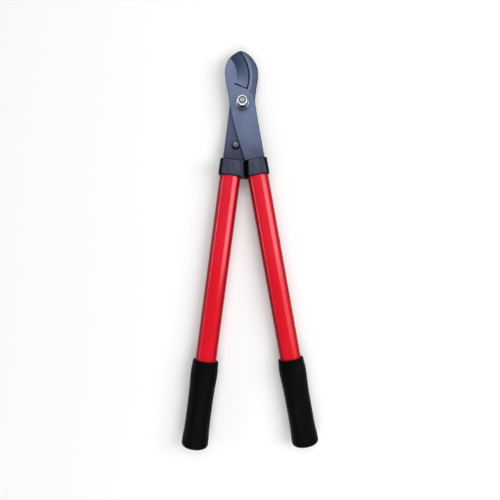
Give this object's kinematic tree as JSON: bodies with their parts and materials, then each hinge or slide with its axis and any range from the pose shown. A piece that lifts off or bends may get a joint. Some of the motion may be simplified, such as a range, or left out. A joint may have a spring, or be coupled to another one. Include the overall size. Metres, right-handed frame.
{
  "type": "bypass lopper",
  "caption": "Two-handed bypass lopper: a convex cutting blade slides past a concave hook on a bolted pivot, with long red oval tube handles and black grips.",
  "frame": {"origin": "centre of the pivot bolt head's outer flat face, on the pivot axis, at the back of the tool lying flat", "axes": "+Y from the pivot to the tip of the jaws, +Z along the pivot bolt out of the nut's side, +X to the right-hand handle"},
  "size_m": [0.1702, 0.496, 0.0302],
  "materials": {
    "blade_steel": "blue-grey satin heat-treated carbon steel with a ground bevel",
    "hook_steel": "blue-grey satin carbon steel, slightly duller than the blade",
    "bronze": "plain turned bronze",
    "zinc": "bright zinc plate",
    "red_enamel": "glossy red enamel on steel tube",
    "black_nylon": "moulded black nylon, satin",
    "grey_nylon": "moulded natural grey nylon",
    "black_rubber": "matte moulded rubber",
    "grip_vinyl": "matte dip-moulded soft vinyl"
  },
  "bodies": {
    "hook_half": {"counter_blade": "hook_steel", "stop_pin": "hook_steel", "stop_ring": "black_rubber", "pivot_bolt": "zinc", "flat_washer": "zinc", "spring_washer": "zinc", "pivot_nut": "zinc", "tang_insert_left": "grey_nylon", "tang_rivet_left": "zinc", "handle_tube_left": "red_enamel", "collar_left": "black_nylon", "buffer_left": "black_rubber", "end_plug_left": "black_nylon", "grip_left": "grip_vinyl"},
    "blade_half": {"cutting_blade": "blade_steel", "pivot_bush": "bronze", "tang_insert_right": "grey_nylon", "tang_rivet_right": "zinc", "handle_tube_right": "red_enamel", "collar_right": "black_nylon", "buffer_right": "black_rubber", "end_plug_right": "black_nylon", "grip_right": "grip_vinyl"}
  },
  "joints": [
    {"name": "pivot", "type": "hinge", "parent": "hook_half", "child": "blade_half", "pos_m": [0, 0, 0.00945], "axis": [0, 0, 1], "range_deg": [0, 55]}
  ]
}
